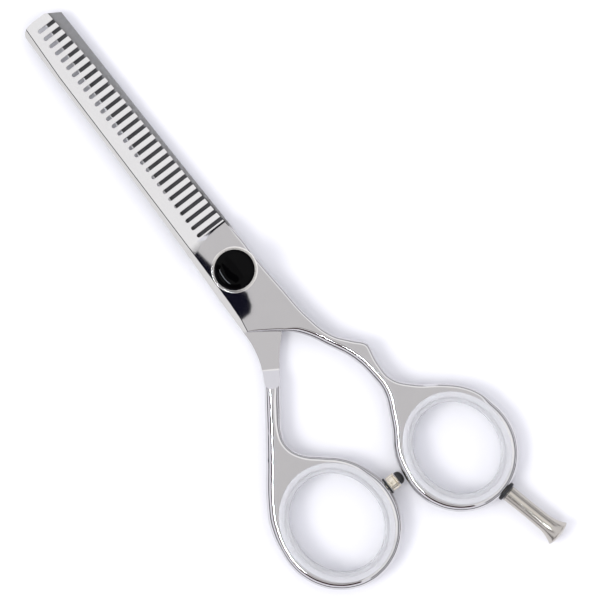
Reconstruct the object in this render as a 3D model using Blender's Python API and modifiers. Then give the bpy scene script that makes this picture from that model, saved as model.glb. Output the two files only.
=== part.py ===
"""Thinning shears: a toothed blade with a finger ring over a plain blade with a thumb ring.

The frame's origin is on the pivot axis, at the level that the shears lie on. +Z is up, towards the
knob, +Y runs to the blade tips, and +X is the side of the finger ring. Sizes are in millimetres, and
each is turned into metres where a shape is made.
"""

import math

import bmesh
import bpy
from mathutils import Vector

MM = 0.001

# Clearances
FIT = 0.15  # between pieces that fit in, on or against each other
BLADE_GAP = 0.3  # between the two halves
BUMPER_CLEARANCE = 0.28  # between the bumper's cap and the finger ring, with the shears closed

# Stack at the pivot
HEAD_THICKNESS = 0.75
HALF_THICKNESS = 5.0  # of both halves' handles; where they cross, they share it
FACE_WASHER_THICKNESS = 0.3
CLICK_WASHER_THICKNESS = 0.45
SPRING_STOCK = 0.35
SPRING_RISE = 0.3

# Pivot
SHANK_RADIUS = 2.0
THREAD_RADIUS = 1.5
BUSH_WALL = 0.6
HEAD_RADIUS = 4.2
SPANNER_HOLE_RADIUS = 0.5
SPANNER_HOLE_SPREAD = 2.7
BLADE_WASHER_WIDTH = 1.05
BLADE_WASHER_THICKNESS = 0.6
KEY_FLAT = 1.25  # from the axis to each flat on the thread

# Tension knob
KNOB_RADIUS = 5.4
KNOB_SKIRT = 0.6
KNOB_WEB = 0.9
KNOB_RIM = 0.7  # from the cap's edge to the knob's
CAP_RECESS = 0.65
CAP_DOME = 0.7
HUB_WALL = 0.75

# Blades: half-widths to each side of the pivot, and places along them
TIP_Y = 74.0
GRIND_Y = 10.3
SPINE_ROOT = 6.9
SPINE_TIP = 5.5
LAND_SIDE = 5.7
TOOTH_LINE_ROOT = 5.0
TOOTH_LINE_TIP = 2.05
TOOTH_LINE_BULGE = 0.45
COMB_TIP_THICKNESS = 1.5
TOOTH_ROOT_THICKNESS = 1.4

# Teeth
TOOTH_PITCH = 2.139
SLOT_WIDTH = 0.95
SLOT_ROOT_X = -2.45
SLOT_ROOT_LEAN = 0.009  # sideways step from each slot's root to the next one's
TIP_TOOTH = 2.25

# Plain blade
PLAIN_SPINE_TIP = 4.7
EDGE_ROOT_X = -2.5
EDGE_TIP_X = -0.1
PLAIN_TIP_DROP = 0.3  # how far the plain tip stays behind the comb's
PLAIN_TIP_THICKNESS = 1.3
EDGE_THICKNESS = 0.85

# Rings, as half-axes across x and along y
FINGER_OPENING = (9.7, 11.2)
FINGER_Y = -64.15
THUMB_OPENING = (10.5, 12.0)
THUMB_Y = -60.85
THUMB_RIM_X = -2.6  # the metal's side that carries the bumper
INSERT_WALL = 1.2
INSERT_LIP = 1.1
RIM_SIDE = 2.75
RIM_END = 1.95
RIM_DROP = Vector((-0.2, -0.65))  # from the opening's centre to the metal's

# Shanks
EDGE_ROUND = 1.0
COMB_RAMP = (-20.5, -27.0)  # y from the thin land to the full thickness underneath
PLAIN_RAMP = (-23.5, -27.5)  # the same on top of the plain half
SEAT_DEPTH = 0.35  # of the flat seats that the washers have on the rims

# Bumper, on the thumb ring along +X
BUMPER_Y = -61.4
BUMPER_RADIUS = 1.85
BUMPER_BARREL = 2.2
BUMPER_GROOVE = 0.25
BUMPER_STUD_RADIUS = 0.85
BUMPER_STUD_DEPTH = 1.6
BUMPER_PIN_RADIUS = 0.7
BUMPER_PIN_LENGTH = 0.75
BUMPER_WASHER_RADIUS = 2.1
BUMPER_WASHER_THICKNESS = 0.5
BUMPER_CAP_RADIUS = 1.55
BUMPER_CAP_LENGTH = 1.5

# Finger rest, square to the finger ring's rim
REST_ANGLE = -77.4
REST_LENGTH = 15.0
REST_RADIUS = 1.9
REST_END_RADIUS = 3.15
REST_END_DOME = 0.7
REST_FLARE = 4.5
REST_STUD_RADIUS = 1.1
REST_STUD_DEPTH = 1.7
REST_WASHER_RADIUS = 2.4
REST_WASHER_THICKNESS = 0.8

CHAMFER = 0.2
ROUND_STEPS = 32
FAR = 20.0  # how far cutters reach past a piece
CORNER = True

# Levels that follow from the sizes above
HALVES_LOW = HEAD_THICKNESS + FIT
HALVES_HIGH = HALVES_LOW + HALF_THICKNESS
MIDDLE = (HALVES_LOW + HALVES_HIGH) / 2
PLAIN_TOP = MIDDLE - BLADE_GAP / 2
COMB_BOTTOM = MIDDLE + BLADE_GAP / 2
FACE_WASHER_LOW = HALVES_HIGH + FIT
CLICK_WASHER_LOW = FACE_WASHER_LOW + FACE_WASHER_THICKNESS + FIT
SPRING_LOW = CLICK_WASHER_LOW + CLICK_WASHER_THICKNESS + FIT
SPRING_HIGH = SPRING_LOW + SPRING_STOCK + SPRING_RISE
KNOB_CEILING = SPRING_HIGH + FIT
CAP_FLOOR = KNOB_CEILING + KNOB_WEB
KNOB_TOP = CAP_FLOOR + FIT + CAP_RECESS

# Radii that follow
BUSH_BORE = SHANK_RADIUS + FIT
BUSH_RADIUS = BUSH_BORE + BUSH_WALL
HALF_BORE = BUSH_RADIUS + FIT
BLADE_WASHER_RADIUS = HALF_BORE + FIT + BLADE_WASHER_WIDTH
KNOB_BORE = THREAD_RADIUS + FIT
HUB_RADIUS = KNOB_BORE + HUB_WALL
SKIRT_BORE = KNOB_RADIUS - KNOB_SKIRT
CAP_RADIUS = KNOB_RADIUS - KNOB_RIM

# The bumper's places, counted from its seat on the thumb ring
BARREL_LOW = FIT + BUMPER_WASHER_THICKNESS + FIT
BARREL_HIGH = BARREL_LOW + BUMPER_BARREL
BUMPER_CAP_LOW = BARREL_HIGH + FIT
BUMPER_CAP_HIGH = BUMPER_CAP_LOW + BUMPER_CAP_LENGTH


def clear_scene():
    for obj in list(bpy.data.objects):
        bpy.data.objects.remove(obj, do_unlink=True)


def new_collection(name):
    collection = bpy.data.collections.new(name)
    bpy.context.scene.collection.children.link(collection)
    return collection


def finish(name, colour, roughness, metallic=0.0, alpha=1.0):
    material = bpy.data.materials.new(name)
    material.use_nodes = True
    shader = material.node_tree.nodes["Principled BSDF"]
    shader.inputs["Base Color"].default_value = (*colour, 1.0)
    shader.inputs["Roughness"].default_value = roughness
    shader.inputs["Metallic"].default_value = metallic
    shader.inputs["Alpha"].default_value = alpha
    return material


def place(name, mesh, collection, material=None):
    obj = bpy.data.objects.new(name, mesh)
    collection.objects.link(obj)
    if material:
        mesh.materials.append(material)
    if collection == CUTTERS:
        obj.hide_render = True
        obj.display_type = "WIRE"
    return obj


def add_loop(curve, knots):
    """Adds a closed loop of knots: smooth ones, and corners, which are marked with a third item."""
    spline = curve.splines.new("BEZIER")
    spline.bezier_points.add(len(knots) - 1)
    spline.use_cyclic_u = True
    for point, knot in zip(spline.bezier_points, knots):
        point.co = (knot[0] * MM, knot[1] * MM, 0)
        kind = "VECTOR" if len(knot) == 3 else "AUTO"
        point.handle_left_type = point.handle_right_type = kind


def slab(name, loops, low, high, collection, material=None):
    """A flat outline, with holes for any further loops, from height low to height high."""
    curve = bpy.data.curves.new(name, "CURVE")
    curve.dimensions = "2D"
    curve.fill_mode = "BOTH"
    curve.resolution_u = 3
    curve.extrude = (high - low) / 2 * MM
    for knots in loops:
        add_loop(curve, knots)
    guide = bpy.data.objects.new(name, curve)
    guide.location.z = (low + high) / 2 * MM
    bpy.context.scene.collection.objects.link(guide)
    graph = bpy.context.evaluated_depsgraph_get()
    mesh = bpy.data.meshes.new_from_object(guide.evaluated_get(graph))
    mesh.transform(guide.matrix_world)
    bpy.data.objects.remove(guide, do_unlink=True)
    weld(mesh)
    return place(name, mesh, collection, material)


def weld(mesh):
    """Joins a slab's loose caps to its walls, and makes each flat stretch one face."""
    solid = bmesh.new()
    solid.from_mesh(mesh)
    bmesh.ops.remove_doubles(solid, verts=solid.verts, dist=0.001 * MM)
    flat = math.radians(0.5)
    bmesh.ops.dissolve_limit(solid, angle_limit=flat, verts=solid.verts, edges=solid.edges)
    bmesh.ops.recalc_face_normals(solid, faces=solid.faces)
    solid.to_mesh(mesh)
    solid.free()


def turned(name, profile, collection, material=None, ring=False):
    """A profile of (radius, height) that runs down its outer side, turned about the vertical axis."""
    points = [(radius * MM, 0, height * MM) for radius, height in profile]
    edges = [(i, i + 1) for i in range(len(points) - 1)]
    if ring:
        edges.append((len(points) - 1, 0))
    mesh = bpy.data.meshes.new(name)
    mesh.from_pydata(points, edges, [])
    obj = place(name, mesh, collection, material)
    screw = obj.modifiers.new("Turn", "SCREW")
    screw.steps = screw.render_steps = ROUND_STEPS
    screw.use_merge_vertices = True
    screw.merge_threshold = 0.001 * MM
    return obj


def washer(name, bore, radius, low, high, collection, material=None):
    profile = [(bore, high), (radius, high), (radius, low), (bore, low)]
    return turned(name, profile, collection, material, ring=True)


def rod(name, radius, low, high, collection, material=None):
    profile = [(0, high), (radius, high), (radius, low), (0, low)]
    return turned(name, profile, collection, material)


def dome(radius, low, high, count):
    """The profile of a dome, from its top down to its edge."""
    turns = [math.pi / 2 * i / count for i in range(count + 1)]
    return [(radius * math.sin(turn), low + (high - low) * math.cos(turn)) for turn in turns]


def aim(obj, mouth, direction):
    """Lays a turned piece down at mid-thickness, its own +Z along a flat direction from the mouth."""
    obj.rotation_mode = "QUATERNION"
    obj.rotation_quaternion = Vector((direction[0], direction[1], 0)).to_track_quat("Z", "Y")
    obj.location = Vector((mouth[0], mouth[1], MIDDLE)) * MM


def plane_height(a, b, c):
    """The height of the plane through three points, as a function of x and y."""
    a, b, c = Vector(a), Vector(b), Vector(c)
    normal = (b - a).cross(c - a)
    return lambda x, y: a.z - (normal.x * (x - a.x) + normal.y * (y - a.y)) / normal.z


def wedge(name, x_range, y_range, near, far):
    """A cutter box whose near face follows the function near, and whose far face is at height far."""
    solid = bmesh.new()
    bmesh.ops.create_cube(solid, size=1.0)
    for vert in solid.verts:
        x = x_range[vert.co.x > 0]
        y = y_range[vert.co.y > 0]
        z = far if vert.co.z > 0 else near(x, y)
        vert.co = Vector((x, y, z)) * MM
    solid.normal_update()
    bmesh.ops.recalc_face_normals(solid, faces=solid.faces)
    mesh = bpy.data.meshes.new(name)
    solid.to_mesh(mesh)
    solid.free()
    return place(name, mesh, CUTTERS)


def side_flat(name, side, reach, low, high):
    """A cutter for everything further than reach to one side of the pivot axis."""
    x_range = sorted((side * reach, side * FAR))
    return wedge(name, x_range, (-FAR, FAR), lambda x, y: low, high)


def side_profile(name, knots):
    """A cutter as wide as the shears, from an outline of (y, z)."""
    cutter = slab(name, [[(y, z, CORNER) for y, z in knots]], -3 * FAR, 3 * FAR, CUTTERS)
    for vert in cutter.data.vertices:
        y, z, x = vert.co
        vert.co = (x, y, z)
    return cutter


def cut(obj, *cutters):
    for cutter in cutters:
        boolean = obj.modifiers.new(cutter.name, "BOOLEAN")
        boolean.operation = "DIFFERENCE"
        boolean.solver = "EXACT"
        boolean.object = cutter


def soften(obj):
    """Rounds a half's edges behind the pivot, before anything is cut from it."""
    mesh = obj.data
    weights = mesh.attributes.new("bevel_weight_edge", "FLOAT", "EDGE")
    for edge in mesh.edges:
        a, b = (mesh.vertices[i].co / MM for i in edge.vertices)
        lies_flat = abs(a.z - b.z) < 0.01
        weights.data[edge.index].value = float(lies_flat and max(a.y, b.y) < -HALF_BORE)
    bevel = obj.modifiers.new("Rounded edges", "BEVEL")
    bevel.limit_method = "WEIGHT"
    bevel.width = EDGE_ROUND * MM
    bevel.segments = 2
    bevel.use_clamp_overlap = False
    obj.modifiers.new("Triangles", "TRIANGULATE")  # the cuts fail on many-sided faces


def smooth(obj):
    obj.data.shade_smooth()
    obj.data.set_sharp_from_angle(angle=math.radians(35))


class Ring:
    """A finger or thumb ring: the insert's opening, the hole in the metal, and the metal's outside."""

    def __init__(self, opening, centre_y, touch_x, side):
        """Its metal passes touch_x at the bumper's height, and lies on that side of it, +1 or -1."""
        self.opening = Vector(opening)
        self.wall = self.opening + Vector((INSERT_WALL, INSERT_WALL))
        self.hole = self.wall + Vector((FIT, FIT))
        self.lip = self.hole + Vector((INSERT_LIP, INSERT_LIP))
        self.outside = self.hole + Vector((RIM_SIDE, RIM_END))
        rim_y = centre_y + RIM_DROP.y
        half_chord = self.outside.x * math.sqrt(1 - ((BUMPER_Y - rim_y) / self.outside.y) ** 2)
        self.rim_centre = Vector((touch_x + side * half_chord, rim_y))
        self.centre = self.rim_centre - RIM_DROP

    def around(self, angle, swell=1.0):
        """A point on the metal's outside at an angle in degrees, or swell times as far out."""
        turn = math.radians(angle)
        reach = Vector((self.outside.x * math.cos(turn), self.outside.y * math.sin(turn)))
        return tuple(self.rim_centre + reach * swell)

    def arc(self, start, end):
        """Points on the metal's outside, about every 15 degrees."""
        count = round(abs(end - start) / 15)
        return [self.around(start + (end - start) * i / count) for i in range(count + 1)]

    def outward(self, angle):
        """The unit direction square to the metal's outside at an angle."""
        turn = math.radians(angle)
        square = Vector((math.cos(turn) / self.outside.x, math.sin(turn) / self.outside.y))
        return square.normalized()

    def loop(self, half_axes):
        """An ellipse about the opening's centre."""
        turns = [2 * math.pi * i / 20 for i in range(20)]
        x, y = self.centre
        return [(x + half_axes[0] * math.cos(turn), y + half_axes[1] * math.sin(turn)) for turn in turns]

    def rest_mouth(self):
        return Vector(self.around(REST_ANGLE)) - self.outward(REST_ANGLE) * SEAT_DEPTH


def along_blade(share):
    return GRIND_Y + share * (TIP_Y - GRIND_Y)


def tooth_line(share, bulge):
    """A point on the line of the tooth tips, at a share of the way from the root to the tip."""
    straight = TOOTH_LINE_ROOT + (TOOTH_LINE_TIP - TOOTH_LINE_ROOT) * share
    return (straight + bulge, along_blade(share))


def comb_outline(ring):
    """The comb half from above, clockwise from the tip's left corner."""
    tip = [(-2.5, TIP_Y, CORNER), (1.5, TIP_Y, CORNER), (TOOTH_LINE_TIP, TIP_Y - 0.5, CORNER)]
    teeth = [tooth_line(0.66, TOOTH_LINE_BULGE), tooth_line(0.3, TOOTH_LINE_BULGE / 2), tooth_line(0, 0)]
    land = [(LAND_SIDE, 5.0), (LAND_SIDE, 0.0), (LAND_SIDE + 0.5, -10.0)]
    outer_shank = [(6.9, -19.0), (8.7, -25.5), (11.5, -29.3)]
    finger_notch = [(14.0, -32.2, CORNER), (13.2, -37.5), (13.5, -42.0), (16.5, -46.0)]
    outer_flare = [ring.around(62, 1.10), ring.around(46, 1.06), ring.around(31, 1.03)]
    rim = ring.arc(15, -195)
    inner_flare = [ring.around(154, 1.035), ring.around(140, 1.073), ring.around(127, 1.123)]
    inner_shank = [(7.8, -48.5), (9.9, -43.5), (10.0, -39.0), (9.0, -33.0), (6.5, -27.5), (3.0, -21.0)]
    shoulder = [(0.0, -18.1), (-3.8, -15.2), (-SPINE_ROOT - 0.3, -12.8, CORNER)]
    spine = [(-SPINE_ROOT, 0.0), (-SPINE_ROOT + 0.3, GRIND_Y - 2.2), (-SPINE_TIP - 0.5, along_blade(0.3)),
             (-SPINE_TIP - 0.2, along_blade(0.8)), (-SPINE_TIP, TIP_Y - 1.5, CORNER)]
    nose = [(-SPINE_TIP + 1.4, TIP_Y - 0.8, CORNER)]
    handle = outer_shank + finger_notch + outer_flare + rim + inner_flare + inner_shank
    return tip + teeth + land + handle + shoulder + spine + nose


def plain_outline(ring):
    """The plain half from above, clockwise from the tip's left corner."""
    tip_y = TIP_Y - PLAIN_TIP_DROP
    tip = [(0.4, tip_y - 0.4, CORNER), (2.0, tip_y, CORNER), (PLAIN_SPINE_TIP, tip_y - 1.7, CORNER)]
    spine = [(PLAIN_SPINE_TIP + 0.5, along_blade(0.3)), (LAND_SIDE - 0.1, 5.0), (LAND_SIDE - 0.1, -5.0)]
    heel = [(4.0, -13.0), (0.0, -17.8)]
    inner_shank = [(-3.5, -21.5), (-7.3, -26.5), (-11.0, -31.8), (-14.6, -37.0), (-15.2, -39.8),
                   (-14.0, -43.0)]
    inner_flare = [ring.around(63, 1.076), ring.around(51, 1.047), ring.around(36, 1.02)]
    rim = ring.arc(20, -190)
    outer_flare = [ring.around(146, 1.066), ring.around(128.5, 1.143)]
    outer_shank = [(-21.0, -39.0), (-14.0, -29.5), (-9.8, -23.5), (-7.6, -17.0)]
    land = [(-SPINE_ROOT - 0.4, -12.8), (-SPINE_ROOT, 0.0), (-SPINE_ROOT + 0.4, 5.0), (-4.8, GRIND_Y - 1.3)]
    edge = [(EDGE_ROOT_X, GRIND_Y + 1.2, CORNER), (EDGE_TIP_X, tip_y - 2.7, CORNER)]
    handle = inner_shank + inner_flare + rim + outer_flare + outer_shank
    return tip + spine + heel + handle + land + edge


def tooth_slots():
    """Round-ended slots from the tooth line in to the spine, one for each pitch that fits on the blade."""
    radius = SLOT_WIDTH / 2
    first_y = TIP_Y - TIP_TOOTH - radius
    turns = [math.pi / 2 + math.pi * i / 6 for i in range(7)]
    centre_x = SLOT_ROOT_X + radius
    end = [(centre_x + radius * math.cos(turn), first_y + radius * math.sin(turn), CORNER) for turn in turns]
    mouth = [(FAR, first_y - radius, CORNER), (FAR, first_y + radius, CORNER)]
    slots = slab("tooth_slots", [end + mouth], COMB_BOTTOM - 1, HALVES_HIGH + 1, CUTTERS)
    array = slots.modifiers.new("Teeth", "ARRAY")
    array.count = int((first_y - radius - GRIND_Y) / TOOTH_PITCH) + 1
    array.use_relative_offset = False
    array.use_constant_offset = True
    array.constant_offset_displace = (SLOT_ROOT_LEAN * MM, -TOOTH_PITCH * MM, 0)
    return slots


def rim_hole(name, radius, depth, washer_radius, mouth, direction):
    """A cutter for a washer's flat seat on a rim, and the blind hole in it."""
    seat = washer_radius + FIT
    profile = [(0, FAR), (seat, FAR), (seat, 0), (radius + FIT, 0), (radius + FIT, -depth - FIT),
               (0, -depth - FIT)]
    cutter = turned(name, profile, CUTTERS)
    aim(cutter, mouth, direction)
    return cutter


def pivot_cuts():
    """Cutters that both halves share: the bore on the bush, and the blade washer's recess."""
    bore = rod("pivot_bore", HALF_BORE, -FAR, 2 * FAR, CUTTERS)
    reach = BLADE_WASHER_THICKNESS / 2 + FIT
    recess = rod("blade_washer_recess", BLADE_WASHER_RADIUS + FIT, MIDDLE - reach, MIDDLE + reach, CUTTERS)
    return bore, recess


def ring_hole(name, ring):
    return slab(name, [ring.loop(ring.hole)], HALVES_LOW - 1, HALVES_HIGH + 1, CUTTERS)


def make_comb_half(ring, shared_cuts, material):
    comb = slab("comb_half", [comb_outline(ring)], HALVES_LOW, HALVES_HIGH, PARTS, material)
    soften(comb)
    underside = side_profile("comb_underside", [
        (TIP_Y + FAR, COMB_BOTTOM), (COMB_RAMP[0], COMB_BOTTOM), (COMB_RAMP[1], HALVES_LOW),
        (COMB_RAMP[1], -FAR), (TIP_Y + FAR, -FAR)])
    slope = plane_height((-SPINE_ROOT, GRIND_Y, HALVES_HIGH - 0.1),
                         (TOOTH_LINE_ROOT, GRIND_Y, COMB_BOTTOM + TOOTH_ROOT_THICKNESS),
                         (-SPINE_TIP, TIP_Y, COMB_BOTTOM + COMB_TIP_THICKNESS))
    grind = wedge("comb_grind", (-FAR, FAR), (GRIND_Y, TIP_Y + FAR), slope, 2 * FAR)
    rest_hole = rim_hole("rest_hole", REST_STUD_RADIUS, REST_STUD_DEPTH, REST_WASHER_RADIUS,
                         ring.rest_mouth(), ring.outward(REST_ANGLE))
    cut(comb, ring_hole("finger_hole", ring), underside, *shared_cuts, grind, tooth_slots(), rest_hole)
    smooth(comb)


def make_plain_half(ring, shared_cuts, material):
    plain = slab("plain_half", [plain_outline(ring)], HALVES_LOW, HALVES_HIGH, PARTS, material)
    soften(plain)
    topside = side_profile("plain_topside", [
        (TIP_Y + FAR, PLAIN_TOP), (PLAIN_RAMP[0], PLAIN_TOP), (PLAIN_RAMP[1], HALVES_HIGH),
        (PLAIN_RAMP[1], 2 * FAR), (TIP_Y + FAR, 2 * FAR)])
    slope = plane_height((LAND_SIDE, GRIND_Y, HALVES_LOW + 0.1),
                         (EDGE_ROOT_X, GRIND_Y, PLAIN_TOP - EDGE_THICKNESS),
                         (PLAIN_SPINE_TIP, TIP_Y, PLAIN_TOP - PLAIN_TIP_THICKNESS))
    grind = wedge("plain_grind", (-FAR, FAR), (GRIND_Y - 2.0, TIP_Y + FAR), slope, -FAR)
    stud_hole = rim_hole("bumper_hole", BUMPER_STUD_RADIUS, BUMPER_STUD_DEPTH, BUMPER_WASHER_RADIUS,
                         BUMPER_SEAT, (1, 0))
    cut(plain, ring_hole("thumb_hole", ring), topside, *shared_cuts, grind, stud_hole)
    smooth(plain)


def make_insert(name, ring, material):
    """A soft liner whose lips reach over both faces of its ring, out to the level of the screw's head."""
    low = HALVES_LOW - FIT
    high = HALVES_HIGH + FIT
    lip = HEAD_THICKNESS
    loops = [ring.loop(ring.lip), ring.loop(ring.opening)]
    insert = slab(name, loops, low - lip, high + lip, PARTS, material)
    beyond = ring.lip + Vector((FAR, FAR))
    cut(insert, slab(name + "_groove", [ring.loop(beyond), ring.loop(ring.wall)], low, high, CUTTERS))
    smooth(insert)


def make_pivot_screw(material):
    top = CAP_FLOOR
    edge = HEAD_RADIUS - CHAMFER
    screw = turned("pivot_screw", [
        (0, top), (THREAD_RADIUS - CHAMFER, top), (THREAD_RADIUS, top - CHAMFER),
        (THREAD_RADIUS, HALVES_HIGH), (SHANK_RADIUS, HALVES_HIGH), (SHANK_RADIUS, HEAD_THICKNESS),
        (edge, HEAD_THICKNESS), (HEAD_RADIUS, HEAD_THICKNESS - CHAMFER), (HEAD_RADIUS, CHAMFER), (edge, 0),
        (0, 0)], PARTS, material)
    for side in (-1, 1):
        hole = rod(f"spanner_hole_{side}", SPANNER_HOLE_RADIUS, -1, HEAD_THICKNESS / 2, CUTTERS)
        hole.location.x = side * SPANNER_HOLE_SPREAD * MM
        flat = side_flat(f"key_flat_{side}", side, KEY_FLAT, HALVES_HIGH + FIT / 2, SPRING_LOW)
        cut(screw, hole, flat)


def make_washers(steel, nylon):
    """The bush on the screw's shank and the washers on the pivot axis, from the bottom up."""
    washer("pivot_bush", BUSH_BORE, BUSH_RADIUS, HALVES_LOW, HALVES_HIGH, PARTS, steel)
    half = BLADE_WASHER_THICKNESS / 2
    washer("blade_washer", HALF_BORE + FIT, BLADE_WASHER_RADIUS, MIDDLE - half, MIDDLE + half, PARTS, nylon)
    radius = SKIRT_BORE - FIT
    washer("face_washer", BUSH_RADIUS + FIT, radius, FACE_WASHER_LOW,
           FACE_WASHER_LOW + FACE_WASHER_THICKNESS, PARTS, nylon)
    click = rod("click_washer", radius, CLICK_WASHER_LOW, CLICK_WASHER_LOW + CLICK_WASHER_THICKNESS, PARTS,
                steel)
    keyway = rod("click_keyway", KNOB_BORE, FACE_WASHER_LOW, SPRING_LOW, CUTTERS)
    for side in (-1, 1):
        cut(keyway, side_flat(f"keyway_flat_{side}", side, KEY_FLAT + FIT, 0, 2 * FAR))
    cut(click, keyway)
    turned("spring_washer", [
        (HUB_RADIUS + FIT, SPRING_HIGH), (radius, SPRING_LOW + SPRING_STOCK), (radius, SPRING_LOW),
        (HUB_RADIUS + FIT, SPRING_HIGH - SPRING_STOCK)], PARTS, steel, ring=True)


def make_knob(steel, black):
    """The dial, hollow underneath over the spring washer, and the dome set in its top."""
    low = FACE_WASHER_LOW
    recess = CAP_RADIUS + FIT
    turned("tension_knob", [
        (recess, KNOB_TOP), (KNOB_RADIUS - CHAMFER, KNOB_TOP), (KNOB_RADIUS, KNOB_TOP - CHAMFER),
        (KNOB_RADIUS, low + CHAMFER), (KNOB_RADIUS - CHAMFER, low), (SKIRT_BORE, low),
        (SKIRT_BORE, KNOB_CEILING), (HUB_RADIUS, KNOB_CEILING), (HUB_RADIUS, SPRING_LOW),
        (KNOB_BORE, SPRING_LOW), (KNOB_BORE, CAP_FLOOR), (recess, CAP_FLOOR)], PARTS, steel, ring=True)
    floor = CAP_FLOOR + FIT
    shell = dome(CAP_RADIUS, KNOB_TOP - CHAMFER, KNOB_TOP + CAP_DOME, 6)
    turned("knob_cap", shell + [(CAP_RADIUS, floor), (0, floor)], PARTS, black)


def make_bumper(steel, rubber):
    pin_top = BARREL_HIGH + BUMPER_PIN_LENGTH
    groove = BARREL_LOW + BUMPER_BARREL * 0.8
    stud = turned("bumper_stud", [
        (0, pin_top), (BUMPER_PIN_RADIUS, pin_top), (BUMPER_PIN_RADIUS, BARREL_HIGH),
        (BUMPER_RADIUS - CHAMFER, BARREL_HIGH), (BUMPER_RADIUS, BARREL_HIGH - CHAMFER),
        (BUMPER_RADIUS, groove + BUMPER_GROOVE / 2), (BUMPER_RADIUS - CHAMFER, groove),
        (BUMPER_RADIUS, groove - BUMPER_GROOVE / 2), (BUMPER_RADIUS, BARREL_LOW),
        (BUMPER_STUD_RADIUS, BARREL_LOW), (BUMPER_STUD_RADIUS, -BUMPER_STUD_DEPTH),
        (0, -BUMPER_STUD_DEPTH)], PARTS, steel)
    seal = washer("bumper_washer", BUMPER_STUD_RADIUS + FIT, BUMPER_WASHER_RADIUS, FIT,
                  FIT + BUMPER_WASHER_THICKNESS, PARTS, rubber)
    bore = BUMPER_PIN_RADIUS + FIT
    shell = dome(BUMPER_CAP_RADIUS, BUMPER_CAP_LOW + 0.3, BUMPER_CAP_HIGH, 5)
    inside = [(BUMPER_CAP_RADIUS, BUMPER_CAP_LOW), (bore, BUMPER_CAP_LOW), (bore, pin_top + FIT),
              (0, pin_top + FIT)]
    cap = turned("bumper_cap", shell + inside, PARTS, rubber)
    for piece in (stud, seal, cap):
        aim(piece, BUMPER_SEAT, (1, 0))


def make_finger_rest(ring, steel, rubber):
    low = FIT + REST_WASHER_THICKNESS + FIT
    end = low + REST_LENGTH
    face = [(0, end + REST_END_DOME), (REST_END_RADIUS * 0.55, end + REST_END_DOME * 0.7),
            (REST_END_RADIUS - CHAMFER, end)]
    spread = REST_END_RADIUS - REST_RADIUS
    flare = [(REST_RADIUS + spread * share ** 2.2, end - CHAMFER - REST_FLARE * (1 - share))
             for share in (1.0, 0.8, 0.6, 0.4, 0.2, 0.0)]
    bar = [(REST_RADIUS - 0.08, (low + end) / 2), (REST_RADIUS, low), (REST_STUD_RADIUS, low),
           (REST_STUD_RADIUS, -REST_STUD_DEPTH), (0, -REST_STUD_DEPTH)]
    rest = turned("finger_rest", face + flare + bar, PARTS, steel)
    seal = washer("finger_rest_washer", REST_STUD_RADIUS + FIT, REST_WASHER_RADIUS, FIT,
                  FIT + REST_WASHER_THICKNESS, PARTS, rubber)
    for piece in (rest, seal):
        aim(piece, ring.rest_mouth(), ring.outward(REST_ANGLE))


BUMPER_SEAT = (THUMB_RIM_X - SEAT_DEPTH, BUMPER_Y)
thumb_ring = Ring(THUMB_OPENING, THUMB_Y, THUMB_RIM_X, -1)
finger_ring = Ring(FINGER_OPENING, FINGER_Y, BUMPER_SEAT[0] + BUMPER_CAP_HIGH + BUMPER_CLEARANCE, 1)

clear_scene()
PARTS = new_collection("thinning_shears")
CUTTERS = new_collection("cutters")

pivot_steel = finish("pivot_steel", (0.55, 0.55, 0.56), 0.35, metallic=1.0)
rubber = finish("black_rubber", (0.012, 0.012, 0.014), 0.45)
liner = finish("clear_insert", (0.86, 0.87, 0.88), 0.15, alpha=0.6)
both_halves = pivot_cuts()
make_comb_half(finger_ring, both_halves, finish("comb_steel", (0.62, 0.61, 0.62), 0.2, metallic=1.0))
make_plain_half(thumb_ring, both_halves, finish("plain_steel", (0.60, 0.60, 0.61), 0.2, metallic=1.0))
make_insert("finger_insert", finger_ring, liner)
make_insert("thumb_insert", thumb_ring, liner)
make_pivot_screw(pivot_steel)
make_washers(pivot_steel, finish("nylon", (0.82, 0.82, 0.78), 0.5))
make_knob(finish("knob_steel", (0.66, 0.65, 0.64), 0.2, metallic=1.0),
          finish("knob_black", (0.008, 0.008, 0.010), 0.12))
make_bumper(finish("bumper_steel", (0.70, 0.66, 0.60), 0.22, metallic=1.0), rubber)
make_finger_rest(finger_ring, finish("rest_steel", (0.56, 0.53, 0.49), 0.25, metallic=1.0), rubber)
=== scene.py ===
import math

import bmesh
import bpy
from mathutils import Matrix, Vector
from mathutils.geometry import interpolate_bezier


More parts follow.
